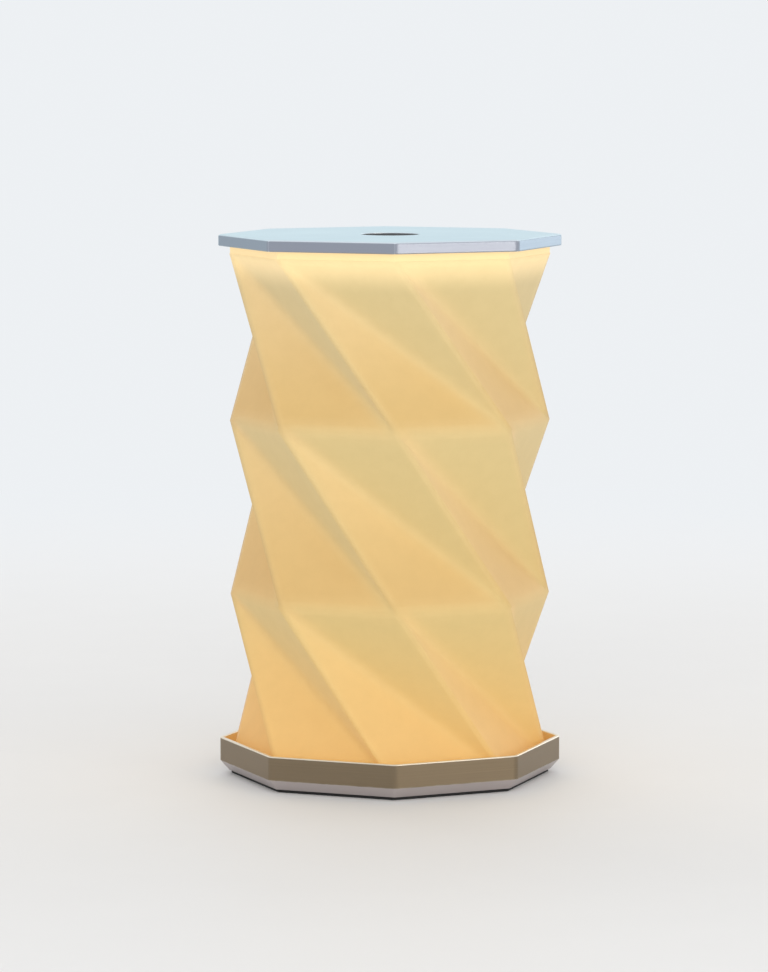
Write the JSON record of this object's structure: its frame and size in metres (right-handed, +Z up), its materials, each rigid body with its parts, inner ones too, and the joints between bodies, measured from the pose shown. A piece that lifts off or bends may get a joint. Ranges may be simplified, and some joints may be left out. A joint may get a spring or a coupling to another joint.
{
  "type": "table lamp",
  "caption": "Collapsible table lamp: an octagonal metal cover and tray joined by a folded, twisted paper shade that turns and presses flat, with a push switch in the cover.",
  "frame": {"origin": "middle of the underside of the foot pad, on the surface the lamp stands on", "axes": "+Z up through the middle of the tray, shade and cover; octagon corners on X and Y; the front corner is on -Y"},
  "size_m": [0.14, 0.14, 0.2223],
  "materials": {
    "anodised_aluminium": "fine brushed, clear anodised",
    "shade_paper": "translucent lampshade paper, lit from inside",
    "black_plastic": "satin moulded",
    "white_plastic": "satin moulded",
    "opal_plastic": "opal, light diffusing",
    "foot_rubber": "matt sheet",
    "silicone": "translucent silicone",
    "steel": "zinc plated",
    "circuit_board": "solder mask",
    "lamp_board": "white solder mask on aluminium",
    "led": "phosphor",
    "cell_foil": "pouch foil",
    "flex_strip": "polyimide film"
  },
  "bodies": {
    "base": {"foot_pad": "foot_rubber", "ballast_plate": "steel", "base_tray": "anodised_aluminium", "base_screws": "steel", "lower_clamp_ring": "white_plastic"},
    "shade": {"paper_shade": "shade_paper"},
    "top": {"top_cover": "anodised_aluminium", "top_chassis": "white_plastic", "top_screws": "steel", "upper_clamp_ring": "white_plastic", "charging_socket": "steel", "socket_insert": "black_plastic", "charging_board": "circuit_board", "charging_flex": "flex_strip", "control_board": "circuit_board", "board_screws": "steel", "tactile_switch": "black_plastic", "return_ring": "silicone", "battery": "cell_foil", "led_board": "lamp_board", "leds": "led", "lamp_flex": "flex_strip", "diffuser": "opal_plastic"},
    "button": {"switch_button": "black_plastic", "switch_plunger": "black_plastic"}
  },
  "joints": [
    {"name": "fold_twist", "type": "hinge", "parent": "base", "child": "shade", "pos_m": [0, 0, 0.0035], "axis": [0, 0, 1], "range_deg": [-135, 0]},
    {"name": "fold_lift", "type": "slide", "parent": "shade", "child": "top", "axis": [0, 0, 1], "range_m": [-0.2025, 0], "deforming": ["paper_shade"]},
    {"name": "button_press", "type": "slide", "parent": "top", "child": "button", "axis": [0, 0, 1], "range_m": [-0.0005, 0], "stiffness_N_per_m": 2000, "springref_m": 0.0004, "deforming": ["return_ring"]}
  ],
  "couplings": [
    {"joint": "fold_twist", "follows": "fold_lift", "rad_per_m": 11.635}
  ]
}
